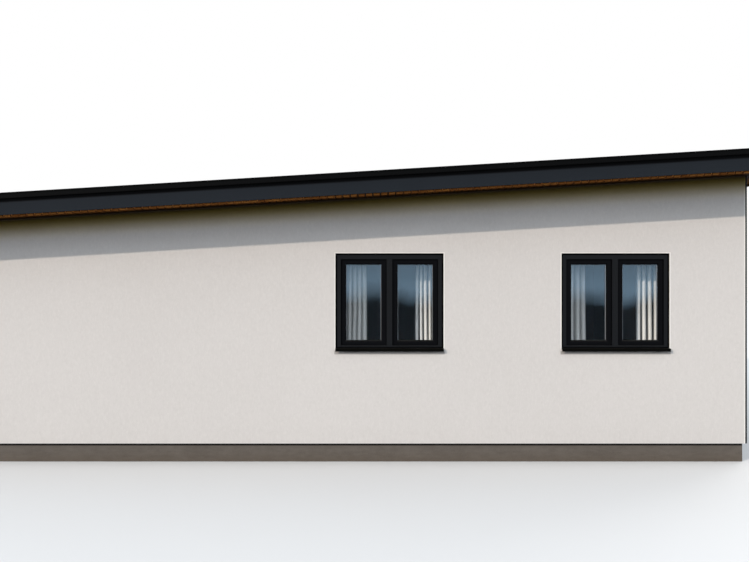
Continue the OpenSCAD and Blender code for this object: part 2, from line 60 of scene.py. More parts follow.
# Daylight and floor: one lamp from high on the front left, which casts the shade of the eaves,
# a weaker wide one from behind on the right, even light from all round, and a plain pale
# floor. The background is a plain white.
class Wire:
    """A socket of a node tree, on which sums are written as in Python."""

    def __init__(self, tree, socket):
        self.tree = tree
        self.socket = socket

    def sum(self, operation, *values):
        return self.tree.node("ShaderNodeMath", {"operation": operation}, dict(enumerate(values)))

    def __add__(self, other):
        return self.sum("ADD", self, other)

    def __sub__(self, other):
        return self.sum("SUBTRACT", self, other)

    def __rsub__(self, other):
        return self.sum("SUBTRACT", other, self)

    def __mul__(self, other):
        return self.sum("MULTIPLY", self, other)

    def __truediv__(self, other):
        return self.sum("DIVIDE", self, other)

    def __pow__(self, other):
        return self.sum("POWER", self, other)

    def __lt__(self, other):
        return self.sum("LESS_THAN", self, other)

    def __gt__(self, other):
        return self.sum("GREATER_THAN", self, other)

    def __abs__(self):
        return self.sum("ABSOLUTE", self)

    def least(self, other):
        return self.sum("MINIMUM", self, other)

    def most(self, other):
        return self.sum("MAXIMUM", self, other)

    def between(self, low, high):
        """0 below low, 1 above high, and an even rise from one to the other."""
        return self.tree.node("ShaderNodeMapRange", {"clamp": True}, {0: self, 1: low, 2: high})

    __radd__ = __add__
    __rmul__ = __mul__


class Tree:
    """A node tree, and the one way in which nodes are added to it."""

    def __init__(self, tree):
        self.tree = tree
        self.tree.nodes.clear()

    def node(self, kind, settings=None, values=None, out=0):
        made = self.tree.nodes.new(kind)
        for name, value in (settings or {}).items():
            setattr(made, name, value)
        for name, value in (values or {}).items():
            if isinstance(value, Wire):
                self.tree.links.new(value.socket, made.inputs[name])
            else:
                made.inputs[name].default_value = value
        return Wire(self, made.outputs[out]) if len(made.outputs) else None


def srgb(red, green, blue):
    """A colour as a paint chart gives it, from 0 to 255, as the shaders count it."""
    return tuple((c / 12.92 if c <= 0.04045 else ((c + 0.055) / 1.055) ** 2.4)
                 for c in (red / 255, green / 255, blue / 255)) + (1.0,)


def daylight(name, travel, strength, angle, colour):
    """Light that travels one way all over the house, softer the wider its angle in degrees."""
    lamp = bpy.data.lights.new(name, "SUN")
    lamp.energy = strength
    lamp.angle = math.radians(angle)
    lamp.color = colour
    holder = bpy.data.objects.new(name, lamp)
    holder.rotation_euler = Vector(travel).to_track_quat("-Z", "Y").to_euler()
    scene.collection.objects.link(holder)


daylight("front_light", travel=(0.65, 0.6, -0.447), strength=2.12, angle=1.2,
         colour=(1.0, 0.88, 0.762))
daylight("back_light", travel=(-0.55, -0.65, -0.5), strength=0.9, angle=25,
         colour=(1.0, 0.98, 0.96))


def seen_directly(tree):
    """1 for what the camera sees, also in metal and through glass, and 0 for light on the house."""
    seen = tree.node("ShaderNodeLightPath", out="Is Camera Ray")
    seen = seen.most(tree.node("ShaderNodeLightPath", out="Is Glossy Ray"))
    return seen.most(tree.node("ShaderNodeLightPath", out="Is Transmission Ray"))


scene.world = bpy.data.worlds.new("studio")
scene.world.use_nodes = True
air = Tree(scene.world.node_tree)
even = air.node("ShaderNodeBackground", values={"Color": (0.95, 1.04, 1.15, 1), "Strength": 1.24})
white = air.node("ShaderNodeBackground", values={"Color": (1, 1, 1, 1), "Strength": 1.0})
air.node("ShaderNodeOutputWorld", values={
    0: air.node("ShaderNodeMixShader", values={0: seen_directly(air), 1: even, 2: white})})


class Finish(Tree):
    """A material with the shader nodes of one finish."""

    def __init__(self, name):
        self.material = bpy.data.materials.new(name)
        self.material.use_nodes = True
        super().__init__(self.material.node_tree)
        self.place = self.node("ShaderNodeTexCoord", out="Object")

    def split(self, vector):
        """The X, Y and Z of a vector."""
        parts = self.node("ShaderNodeSeparateXYZ", values={0: vector}).socket.node.outputs
        return [Wire(self, part) for part in parts]

    def axes(self):
        """The place on the house, in metres along X, Y and Z."""
        return self.split(self.place)

    def noise(self, scale, detail=2.0, stretch=(1, 1, 1), rough=0.5):
        """Cloudy noise from 0 to 1. It is drawn out along the axes whose stretch is small."""
        place = self.node("ShaderNodeVectorMath", {"operation": "MULTIPLY"},
                          {0: self.place, 1: stretch})
        return self.node("ShaderNodeTexNoise", values={
            "Vector": place, "Scale": scale, "Detail": detail, "Roughness": rough})

    def mix(self, share, first, second, blend="MIX"):
        """One colour laid over another: the first where the share is 0, the second where it is 1."""
        return self.node("ShaderNodeMix", {"data_type": "RGBA", "blend_type": blend},
                         {0: share, 6: first, 7: second}, out=2)

    def bump(self, height, distance, under=None):
        """Fine relief, as high in metres as the distance, on top of another one if given."""
        values = {"Height": height, "Distance": distance, "Strength": 1.0}
        if under:
            values["Normal"] = under
        return self.node("ShaderNodeBump", values=values)

    def facing(self, axis):
        """How much a face looks along X, Y or Z, from -1 to 1."""
        return self.split(self.node("ShaderNodeNewGeometry", out="Normal"))[axis]

    def upward(self):
        """1 on faces that look up, where dust settles."""
        return self.facing(2).between(0.5, 0.9)

    def shine(self, values):
        """Ends the finish in one plain shader and returns the material."""
        shader = self.node("ShaderNodeBsdfPrincipled", values=values)
        self.node("ShaderNodeOutputMaterial", values={0: shader})
        return self.material


ground = Finish("pale_floor")
shape = bmesh.new()
bmesh.ops.create_grid(shape, x_segments=1, y_segments=1, size=70)
flat = bpy.data.meshes.new("pale_floor")
shape.to_mesh(flat)
shape.free()
flat.materials.append(ground.shine({
    "Base Color": ground.mix(seen_directly(ground), srgb(58, 56, 53), srgb(206, 205, 203)),
    "Roughness": 0.95, "Specular IOR Level": 0.0}))
floor = bpy.data.objects.new("pale_floor", flat)
scene.collection.objects.link(floor)


# Slab and plinth: a cast slab, and round it a setback band of grey-brown mineral coat that
# is trowelled on by hand and takes the splashes of the rain.
def paint(material, *names):
    """Gives nodes of the house their material."""
    for name in names:
        cad[name].material_slots[0].material = material


slab = Finish("cast_concrete")
clouds = slab.noise(3.0, 4)
pores = slab.noise(160, 3)
tone = slab.mix(clouds, srgb(126, 122, 116), srgb(158, 154, 147))
paint(slab.shine({"Base Color": slab.mix(pores.between(0.62, 0.75) * 0.5, tone, srgb(96, 92, 86)),
                  "Roughness": 0.9, "Normal": slab.bump(pores, 0.001)}), "foundation_slab")

plinth_top = 0.2
band = Finish("plinth_coat")
height = band.axes()[2]
patches = band.noise(2.2, 4)
trowel = band.noise(9, 3, stretch=(1, 1, 2.5))
grain = band.noise(420, 3, rough=0.6)
tone = band.mix(patches, srgb(84, 77, 70), srgb(112, 104, 96))
tone = band.mix(trowel.between(0.35, 0.7) * 0.3, tone, srgb(70, 64, 58))
tone = band.mix(grain.between(0.5, 0.75) * 0.35, tone, srgb(136, 129, 120))
splash = (1 - height.between(0.0, 0.14)) * (0.25 + 0.5 * band.noise(14, 3))
tone = band.mix(splash, tone, srgb(88, 76, 62))
shadow_line = height.between(plinth_top - 0.009, plinth_top) * 0.97
paint(band.shine({"Base Color": band.mix(shadow_line, tone, srgb(7, 5, 4)), "Roughness": 0.92,
                  "Normal": band.bump(grain + 1.5 * trowel, 0.0025)}), "plinth_render")


# Walls: light masonry with a fine mineral coat outside, rubbed even, and painted plaster
# inside. The coat runs into the window reveals as far as the frames, over pale beads at the
# corners and round the openings. Painted shade makes it darker and yellower under the eaves,
# and a band of painted shadow lies just under each sill.
wall_x, wall_y = 5.2, 4.6  # half the length and half the depth of the house
eaves_z, pitch = 3.489, math.radians(3.4)  # over the high end wall
slope = math.tan(pitch)
long_windows, end_window = (0.862, 3.62), 3.02  # the middles of the openings
opening_low, opening_high, opening_half = 1.371, 2.545, 0.66
coat_depth, coat_edge = 0.075, 0.07
bead_w, corner_w = 0.011, 0.0135


def soffit_z(x):
    """The height of the underside of the soffit boards, which rises with the roof."""
    return eaves_z + (x - wall_x) * slope


coat = Finish("rubbed_coat")
x, y, z = coat.axes()
inside = (abs(x) < wall_x - coat_depth) * (abs(y) < wall_y - coat_depth)
drift = coat.noise(0.7, 3)
rubbed = coat.noise(26, 4, rough=0.6)
comb = coat.noise(64, 3, stretch=(1, 1, 0.35), rough=0.6)
grit = coat.noise(380, 3, rough=0.65)
outer = coat.mix(drift, srgb(213, 208, 203), srgb(219, 214, 209))
outer = coat.mix(rubbed.between(0.45, 0.8) * 0.32, outer, srgb(201, 196, 190))
outer = coat.mix(comb.between(0.48, 0.72) * 0.35, outer, srgb(228, 223, 218))
outer = coat.mix(grit.between(0.56, 0.72) * 0.22, outer, srgb(186, 180, 173))
runs = coat.noise(5, 3, stretch=(5, 5, 0.35))
foot = (1 - z.between(0.225, 0.5)) * runs.between(0.3, 0.8) * 0.1
outer = coat.mix(foot, outer, srgb(178, 170, 160))
corner = (abs(x) > wall_x - corner_w) * (abs(y) > wall_y - corner_w)
outer = coat.mix(corner, outer, srgb(243, 239, 232))
below = soffit_z(x) - z
# Painted shade: the coat turns darker and yellower towards the soffit.
painted_eave_shade = (1 - below.between(0.004, 0.24)) ** 1.5
painted_shade_tint = ((1 - below.between(0.0, 0.31)) ** 1.9 * 1.15).least(0.92)
outer = coat.mix(painted_eave_shade, outer, srgb(34, 24, 8))
outer = coat.mix(painted_shade_tint, outer, (1.0, 0.75, 0.0, 1), "MULTIPLY")
along = x * (1 - 2 * (y > 0))
beside = abs(along - long_windows[0]).least(abs(along - long_windows[1])) - opening_half
beside_end = abs(abs(y) - end_window) - opening_half
beside = beside + (beside_end - beside) * (abs(x) > wall_x - coat_edge)
above = abs(z - (opening_low + opening_high) / 2) - (opening_high - opening_low) / 2
bead = (beside.most(above) < bead_w) * (z > opening_low)
outer = coat.mix(bead, outer, srgb(243, 239, 232))
sill_foot = opening_low - 0.019  # painted shadow on the wall just under the sill
painted_sill_shade = z.between(sill_foot - 0.046, sill_foot - 0.034) * (z < sill_foot) * (beside < 0.012)
outer = coat.mix(painted_sill_shade * 0.45, outer, srgb(66, 60, 54))
behind_boards = (x > wall_x - coat_edge) * (abs(y) < wall_y - 0.39)  # dark up to the frames
outer = coat.mix(behind_boards, outer, srgb(24, 25, 28))
inner = coat.mix(drift, srgb(146, 142, 136), srgb(154, 150, 144))
grained = coat.bump((grit * 0.7 + rubbed * 0.5) * (1.1 - inside), 0.0016)
paint(coat.shine({"Base Color": coat.mix(inside, outer, inner), "Roughness": 0.88, "Normal": grained}),
      "front_wall", "back_wall", "low_end_wall", "high_end_wall")


# Soffits: stained larch boards under the eaves, square to the walls and a finger apart, nailed
# to battens under the roof panel, with black felt over their joints. Each ends in a short lip
# that shows under the fascia and sheds drops.
roof = Matrix.Translation((wall_x, 0, eaves_z)) @ Matrix.Rotation(-pitch, 4, "Y")


def block(shape, low, high, edge=0.0):
    """Adds a box between two corners to a shape, with its edges eased."""
    low, high = Vector(low), Vector(high)
    corners = bmesh.ops.create_cube(shape, size=1.0)["verts"]
    for corner in corners:
        corner.co = [(low[i] + high[i]) / 2 + corner.co[i] * (high[i] - low[i]) for i in range(3)]
    if edge:
        rims = list(dict.fromkeys(e for corner in corners for e in corner.link_edges))
        made = bmesh.ops.bevel(shape, geom=rims, offset=edge, segments=1, affect="EDGES", profile=0.5)
        corners = list(dict.fromkeys(v for face in made["faces"] for v in face.verts))
    return corners


def shown(name, shape, material, smooth=None):
    """Turns a shape into a linked object with one material, smooth over edges up to an angle."""
    mesh = bpy.data.meshes.new(name)
    shape.to_mesh(mesh)
    shape.free()
    mesh.materials.append(material)
    if smooth:
        mesh.shade_smooth()
        mesh.set_sharp_from_angle(angle=math.radians(smooth))
    made = bpy.data.objects.new(name, mesh)
    scene.collection.objects.link(made)
    return made


def row_layout():
    """Repeats one piece along a line, each with a tone of its own."""
    group = bpy.data.node_groups.new("row_of_pieces", "GeometryNodeTree")
    tree = Tree(group)
    wanted = [("Piece", "NodeSocketObject", None), ("Count", "NodeSocketInt", 1),
              ("First", "NodeSocketVector", (0, 0, 0)), ("Step", "NodeSocketVector", (0, 0, 0)),
              ("Seed", "NodeSocketInt", 1), ("Finish", "NodeSocketMaterial", None)]
    for name, kind, default in wanted:
        socket = group.interface.new_socket(name=name, in_out="INPUT", socket_type=kind)
        if default is not None:
            socket.default_value = default
    group.interface.new_socket(name="Pieces", in_out="OUTPUT", socket_type="NodeSocketGeometry")
    entry = tree.node("NodeGroupInput").socket.node
    given = {name: Wire(tree, entry.outputs[name]) for name, kind, default in wanted}
    line = tree.node("GeometryNodeMeshLine", {"mode": "OFFSET"}, {
        "Count": given["Count"], "Start Location": given["First"], "Offset": given["Step"]})
    piece = tree.node("GeometryNodeObjectInfo", values={"Object": given["Piece"]}, out="Geometry")
    copies = tree.node("GeometryNodeInstanceOnPoints", values={"Points": line, "Instance": piece})
    tone = tree.node("FunctionNodeRandomValue", {"data_type": "FLOAT"}, {"Seed": given["Seed"]}, out=1)
    toned = tree.node("GeometryNodeStoreNamedAttribute", {"data_type": "FLOAT", "domain": "INSTANCE"},
                      {"Geometry": copies, "Name": "tone", "Value": tone})
    solid = tree.node("GeometryNodeRealizeInstances", values={"Geometry": toned})
    done = tree.node("GeometryNodeSetMaterial", values={"Geometry": solid, "Material": given["Finish"]})
    tree.node("NodeGroupOutput", values={0: done})
    return group


row_of_pieces = row_layout()


def laid_out(name, layout, sizes):
    """Runs a layout with these sizes and returns what it makes as one plain mesh. The piece that
    it repeats is used up."""
    made = bpy.data.objects.new(name, bpy.data.meshes.new(name))
    scene.collection.objects.link(made)
    modifier = made.modifiers.new("layout", "NODES")
    modifier.node_group = layout
    for item in layout.interface.items_tree:
        if item.in_out == "INPUT" and item.name in sizes:
            modifier[item.identifier] = sizes[item.name]
    graph = bpy.context.evaluated_depsgraph_get()
    plain = bpy.data.meshes.new_from_object(made.evaluated_get(graph))
    made.modifiers.clear()
    made.data = plain
    plain.name = name
    bpy.data.objects.remove(sizes["Piece"])
    return made


def each_its_own(wood):
    """The tone of a board from 0 to 1, which also shifts the grain, so no two boards match."""
    tone = wood.node("ShaderNodeAttribute", {"attribute_name": "tone"}, out="Fac")
    shift = wood.node("ShaderNodeVectorMath", {"operation": "SCALE"},
                      {0: (3.1, 4.7, 5.3), "Scale": tone * 9})
    wood.place = wood.node("ShaderNodeVectorMath", {"operation": "ADD"}, {0: wood.place, 1: shift})
    return tone


def larch(name, along):
    """Stained larch whose grain runs along X or Y, with near black joints. Painted shade darkens it
    near the walls and in a band just behind the fascia, where the lips are a little lighter."""
    wood = Finish(name)
    x, y, z = wood.axes()
    from_wall = (abs(y) - wall_y).most(abs(x) - wall_x)
    hangs = z < soffit_z(x) - 0.001
    joint_side = abs(wood.facing(1 if along == "x" else 0)) > 0.3
    run = (0.05, 1, 1) if along == "x" else (1, 0.05, 1)
    tone = each_its_own(wood)
    growth = wood.noise(38, 4, stretch=run, rough=0.62)
    fibre = wood.noise(240, 2, stretch=run)
    broad = wood.noise(7, 2, stretch=run)
    colour = wood.mix(tone, srgb(158, 98, 46), srgb(198, 132, 66))
    colour = wood.mix(broad.between(0.3, 0.75) * 0.45, colour, srgb(136, 78, 32))
    colour = wood.mix(growth.between(0.5, 0.72) * 0.5, colour, srgb(100, 56, 24))
    colour = wood.mix(fibre.between(0.55, 0.8) * 0.3, colour, srgb(90, 52, 27))
    # Painted shade near the walls, and in a band just behind the fascia, less on the lips.
    colour = wood.mix((1 - from_wall.between(0.15, 0.42)) * 0.99, colour, srgb(17, 7, 1))
    colour = wood.mix(from_wall.between(0.535, 0.56) * (0.7 - 0.34 * hangs), colour, srgb(13, 8, 5))
    colour = wood.mix(joint_side, colour, srgb(13, 8, 5))
    return wood.shine({"Base Color": colour, "Roughness": 0.6 + 0.2 * fibre,
                       "Specular IOR Level": 0.02, "Normal": wood.bump(growth + 0.5 * fibre, 0.0008)})


felt = Finish("black_felt")
fuzz = felt.noise(500, 2)
black_felt = felt.shine({"Base Color": felt.mix(fuzz, srgb(14, 13, 12), srgb(30, 28, 26)),
                         "Roughness": 0.95, "Normal": felt.bump(fuzz, 0.0005)})
paint(black_felt, "roof_panel")

board_w, board_t, joint_w, board_edge = 0.080, 0.016, 0.0083, 0.002
lip_h, lip_t, lip_in = 0.030, 0.012, 0.0045
module = board_w + joint_w
left, right = joint_w / 2, joint_w / 2 + board_w
soffit_in, soffit_out = 4.613, 5.175
# Along the roof, measured up the slope from over the high end wall.
low_out, low_in, high_in, high_out = -10.9944, -10.4308, 0.0351, 0.5760


def nail_up(name, board, count, first, step, seed, along):
    """Repeats one board along a side of the roof, to stand for the plain soffit there."""
    boards = laid_out(name + "_boards", row_of_pieces, {
        "Piece": shown(name + "_board", board, black_felt), "Count": count, "First": first,
        "Step": step, "Seed": seed, "Finish": larch(name + "_larch", along)})
    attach(boards, "root")
    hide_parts(name)


# The lip hangs from the outer end of each board, which is the near or the far one.
for name, near, far in (("front_soffit", -soffit_out, -soffit_in), ("back_soffit", soffit_in, soffit_out)):
    length = high_out - low_out + joint_w
    count = int(length / module)
    spare = (length - count * module) / 2
    lip = (near + 0.001, near + lip_t) if near < 0 else (far - lip_t, far - 0.001)
    shape = bmesh.new()
    block(shape, (left, near + 0.002, 0.0), (right, far - 0.002, board_t), board_edge)
    block(shape, (left + lip_in, lip[0], -lip_h), (right - lip_in, lip[1], 0.003), board_edge)
    shape.transform(roof.to_3x3().to_4x4())
    first = roof @ Vector((low_out - joint_w / 2 + spare, 0, 0))
    nail_up(name, shape, count, first, roof.to_3x3() @ Vector((module, 0, 0)), 5 + len(name), "y")

for name, near, far in (("low_end_soffit", low_out, low_in), ("high_end_soffit", high_in, high_out)):
    count = int((2 * soffit_in + joint_w) / module)
    lip = (near + 0.001, near + lip_t) if near == low_out else (far - lip_t, far - 0.001)
    shape = bmesh.new()
    block(shape, (near + 0.001, left, 0.0), (far - 0.001, right, board_t), board_edge)
    block(shape, (lip[0], left + lip_in, -lip_h), (lip[1], right - lip_in, 0.003), board_edge)
    shape.transform(roof)
    nail_up(name, shape, count, (0, -count * module / 2, 0), (0, module, 0), 9 + len(name), "x")


# Roof edge: anthracite boards all round, and over them a black folded metal cap up both verges
# and along the high end, with a drip along the low end. Both have a baked satin coat, with
# painted shade in the band under the nose of the cap.
def scaled(colour, by):
    return tuple(min(1.0, c * by) for c in colour[:3]) + (1.0,)


def coated(name, colour, rough=0.4, wave=0.0, dust=0.1, gloss=0.1, dark=None):
    """Sheet metal or aluminium with a baked coat, a little dusty where it looks up. Painted shade
    darkens the roof edge from the first to the second of two heights over the soffit."""
    skin = Finish(name)
    clouds = skin.noise(1.6, 3)
    peel = skin.noise(650, 2)
    tone = skin.mix(clouds, scaled(colour, 0.9), scaled(colour, 1.1))
    tone = skin.mix(peel.between(0.6, 0.75) * 0.18, tone, scaled(colour, 1.7))
    # Painted shade in the band under the nose of the cap.
    if dark:
        x, _, z = skin.axes()
        tone = skin.mix((z - soffit_z(x)).between(*dark) * 0.92, tone, srgb(2, 2, 3))
    settled = skin.upward() * (0.5 + skin.noise(7, 3)) * dust
    tone = skin.mix(settled, tone, srgb(150, 146, 138))
    relief = skin.bump(peel, 0.00006)
    if wave:
        relief = skin.bump(skin.noise(2.4, 1, stretch=(1, 1, 0.4)), wave, under=relief)
    return skin.shine({"Base Color": tone, "Roughness": rough + 0.1 * clouds + settled * 0.6,
                       "Specular IOR Level": gloss, "Normal": relief})


paint(coated("edge_coat", srgb(35, 39, 44), rough=0.45, wave=0.002, gloss=0.04, dark=(0.128, 0.145)),
      "front_fascia", "back_fascia", "high_end_fascia", "low_end_fascia")
paint(coated("cap_coat", srgb(9, 10, 11), rough=0.5, wave=0.0015, gloss=0.035, dark=(0.189, 0.184)),
      "front_verge_cap", "back_verge_cap", "high_end_cap", "eave_drip")


# Roof sheeting: long pans of coated sheet metal from the high end to the gutter, with a
# standing seam folded between each two. The metal is thin, so the pans are a little wavy.
paint(coated("pan_coat", srgb(62, 66, 71), rough=0.38, wave=0.006, dust=0.25), "roof_sheeting")


# Rainwater goods: half-round gutter under the low eave, held by straps, with one downpipe near
# its back end. Dark zinc, and a socket on the pipe wherever two lengths of it meet.
zinc = Finish("dark_zinc")
bloom = zinc.noise(5, 4)
spangle = zinc.noise(60, 2)
zinc_tone = zinc.mix(bloom, srgb(66, 69, 73), srgb(88, 91, 95))
zinc_tone = zinc.mix(spangle.between(0.5, 0.7) * 0.3, zinc_tone, srgb(104, 107, 111))
dark_zinc = zinc.shine({"Base Color": zinc_tone, "Roughness": 0.38 + 0.2 * bloom, "Metallic": 0.6,
                        "Normal": zinc.bump(zinc.noise(3, 2), 0.002)})
paint(dark_zinc, "gutter", "downpipe", "rainwater_brackets")


def turned(shape, profile, foot, along, steps=40):
    """Adds a ring whose section is a closed row of (radius, height), from a foot along an axis."""
    turn = Vector((0, 0, 1)).rotation_difference(Vector(along)).to_matrix().to_4x4()
    place = Matrix.Translation(foot) @ turn
    hoops = []
    for step in range(steps):
        angle = 2 * math.pi * step / steps
        hoops.append([shape.verts.new(place @ Vector((r * math.cos(angle), r * math.sin(angle), h)))
                      for r, h in profile])
    for step in range(steps):
        here, there = hoops[step], hoops[(step + 1) % steps]
        for i in range(len(profile)):
            j = (i + 1) % len(profile)
            shape.faces.new((here[i], there[i], there[j], here[j]))


socket_l, pipe_x, pipe_y = 0.042, -5.27, 4.34
socket_section = [(0.0401, 0.0), (0.0418, -0.001), (0.0428, 0.003), (0.0428, 0.036),
                  (0.0448, 0.037), (0.0458, 0.0395), (0.0448, socket_l), (0.0425, 0.0425),
                  (0.0401, 0.0415)]
socket_tops = [((-5.8307, pipe_y, 2.7522), (0.866, 0, -0.5)),
               ((pipe_x, pipe_y, 2.3737), (0, 0, -1)),
               ((-5.3249, pipe_y, 0.1454), (-0.9063, 0, -0.4226)),
               ((pipe_x, pipe_y, 1.3), (0, 0, -1))]
shape = bmesh.new()
for top, down in socket_tops:
    turned(shape, socket_section, Vector(top) + Vector(down) * socket_l, -Vector(down))
bmesh.ops.recalc_face_normals(shape, faces=shape.faces)
sockets = shown("downpipe_sockets", shape, dark_zinc, 30)
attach(sockets, "root")


# Windows: fixed frames with two sashes beside a post, in aluminium with a dark baked coat.
# The sashes close from inside against a lip of the frame. Nothing here moves.
paint(coated("frame_coat", srgb(20, 22, 25)),
      "front_window_frames", "back_window_frames", "end_window_frames")
paint(coated("sash_coat", srgb(11, 12, 15), gloss=0.03),
      "front_window_sashes", "back_window_sashes", "end_window_sashes")


def window_at(x, y, quarters):
    """The place of a window: its middle on the wall face, turned by quarters of a turn."""
    return Matrix.Translation((x, y, 0)) @ Matrix.Rotation(quarters * math.pi / 2, 4, "Z")


windows = {}
for i, along in enumerate(long_windows):
    windows[f"front_{i + 1}"] = window_at(along, -wall_y, 0)
    windows[f"back_{i + 1}"] = window_at(-along, wall_y, 2)
for i, along in enumerate((-end_window, end_window)):
    windows[f"high_{i + 1}"] = window_at(wall_x, along, 1)
    windows[f"low_{i + 1}"] = window_at(-wall_x, along, -1)


# Glass: double glazing in the sashes, held by a black gasket, with a grey spacer bar round the
# gap between its two sheets. Its reflection is partly painted: a blue gloss laid on down to an
# uneven line, rather less of it at the top, and more where the glass is seen aslant.
pane = Finish("double_glazing")
aslant = pane.node("ShaderNodeLayerWeight", values={"Blend": 0.5}, out="Facing")
height = pane.axes()[2]
uneven = height + 0.34 * pane.noise(1.9, 3)
# Painted reflection: a share of blue gloss above an uneven line.
painted_reflection = uneven.between(2.06, 2.28) * (0.122 - 0.036 * height.between(2.05, 2.4))
painted_reflection = painted_reflection + 0.006 + 0.9 * aslant ** 5
clear = pane.node("ShaderNodeBsdfTransparent", values={"Color": (0.985, 0.992, 0.99, 1)})
gloss = pane.node("ShaderNodeBsdfGlossy", values={"Color": (0.48, 0.74, 1.0, 1), "Roughness": 0.02})
pane.node("ShaderNodeOutputMaterial", values={
    0: pane.node("ShaderNodeMixShader", values={0: painted_reflection, 1: clear, 2: gloss})})
paint(pane.material, "front_window_glass", "back_window_glass", "end_window_glass")

rubber = Finish("black_gasket")
rubber_tone = rubber.mix(rubber.noise(90, 2), srgb(7, 7, 7), srgb(14, 14, 14))
black_gasket = rubber.shine({"Base Color": rubber_tone, "Roughness": 0.7, "Specular IOR Level": 0.1})
bar = Finish("grey_spacer")
bar_tone = bar.mix(bar.noise(120, 2), srgb(118, 118, 120), srgb(132, 132, 134))
# Painted shade: the faces of the spacer bars that look up are near black.
grey_spacer = bar.shine({"Base Color": bar.mix(bar.upward() * 0.95, bar_tone, srgb(14, 14, 15)),
                         "Roughness": 0.5, "Specular IOR Level": 0.2})
# The glass that shows in each sash: left, right, low and high, from the middle of the window.
panes = [(-0.535, -0.096, 1.479, 2.412), (0.096, 0.535, 1.479, 2.412)]
# The lowest spacer bar is sunk, as the glass stands a little low on its setting blocks.
spaced = [(left + 0.005, right - 0.005, low - 0.003, high - 0.005) for left, right, low, high in panes]


def rings(name, material, wide, front, back, rims):
    """A ring inside each rim, from a front to a back depth behind the wall face, in one mesh for
    all windows: four bars, the upright ones between the others."""
    shape = bmesh.new()
    for place in windows.values():
        for left, right, low, high in rims:
            inner = low + wide, high - wide
            bars = [(left, right, low, inner[0]), (left, right, inner[1], high),
                    (left, left + wide, *inner), (right - wide, right, *inner)]
            for start, end, foot, top in bars:
                for corner in block(shape, (start, front, foot), (end, back, top), edge=0.0006):
                    corner.co = place @ corner.co
    made = shown(name, shape, material)
    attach(made, "root")


rings("glazing_gaskets", black_gasket, wide=0.005, front=0.0565, back=0.0598, rims=panes)
rings("glass_spacers", grey_spacer, wide=0.007, front=0.0645, back=0.083, rims=spaced)


# Seals: a black gasket in the lip of the frame, which the sash closes on, and black tape that
# swells in the joint between the frame and the wall. Both are drawn broad, so that they also
# stand for painted shade under the lip and in the joint.
seal = Finish("black_seal")
black_seal = seal.shine({"Base Color": seal.mix(seal.noise(90, 2), srgb(3, 3, 4), srgb(7, 7, 8)),
                         "Roughness": 0.8, "Specular IOR Level": 0.0})
# The openings of the frame that the sashes fill, given like the panes.
lights = [(-0.596, -0.035, 1.418, 2.473), (0.035, 0.596, 1.418, 2.473)]
over_sill = [(-opening_half, opening_half, opening_low + 0.0085, opening_high)]
rings("sash_gaskets", black_seal, wide=0.006, front=0.0365, back=0.0405, rims=lights)
rings("frame_seals", black_seal, wide=0.02, front=0.017, back=0.0205, rims=over_sill)


# Sills: folded aluminium with a dark baked coat, laid on a bed in the opening so that it falls
# outwards, with a lip that drips clear of the wall.
paint(coated("sill_coat", srgb(6, 6, 5), rough=0.45, dust=0.03, gloss=0.03),
      "front_window_sills", "back_window_sills", "end_window_sills")


# Curtains: a pair of unlined linen curtains at each window, drawn back. The heading tape
# gathers each of them to about half of its width, and it hangs from gliders in a rail.
linen = Finish("washed_linen")
cloth_place = linen.node("ShaderNodeUVMap")
warp, weft = [
    linen.node("ShaderNodeTexWave", {"wave_type": "BANDS", "bands_direction": direction}, {
        "Vector": cloth_place, "Scale": 190, "Distortion": 2.0, "Detail": 2}) for direction in "XY"]
threads = warp * 0.5 + weft * 0.5
slub = linen.noise(90, 3, stretch=(1, 1, 0.15))
cloth_tone = linen.mix(slub, srgb(244, 242, 238), srgb(252, 250, 247))
cloth_tone = linen.mix(threads.between(0.2, 0.5) * 0.1, cloth_tone, srgb(214, 209, 200))
fold_shade = linen.node("ShaderNodeAttribute", {"attribute_name": "fold_shade"}, out="Fac")
# Painted shade: the cloth is toned darker by the share of shade kept at each point.
cloth_tone = linen.mix(fold_shade.between(0.28, 0.62) * 0.95, cloth_tone, srgb(36, 36, 38))
linen.shine({"Base Color": cloth_tone, "Roughness": 0.95, "Sheen Weight": 0.2,
             "Normal": linen.bump(threads + slub, 0.0004)})
paint(coated("rail_coat", srgb(222, 222, 220), dust=0.05), "curtain_rails")

rail_half, side_gap = 0.009, 0.008
rail_in = wall_y - (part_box("curtain_rails")[1].y - rail_half)
hem_z, top_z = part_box("curtains")[0].z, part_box("curtains")[1].z
fold_depth, cloth_t = 0.024, 0.0009


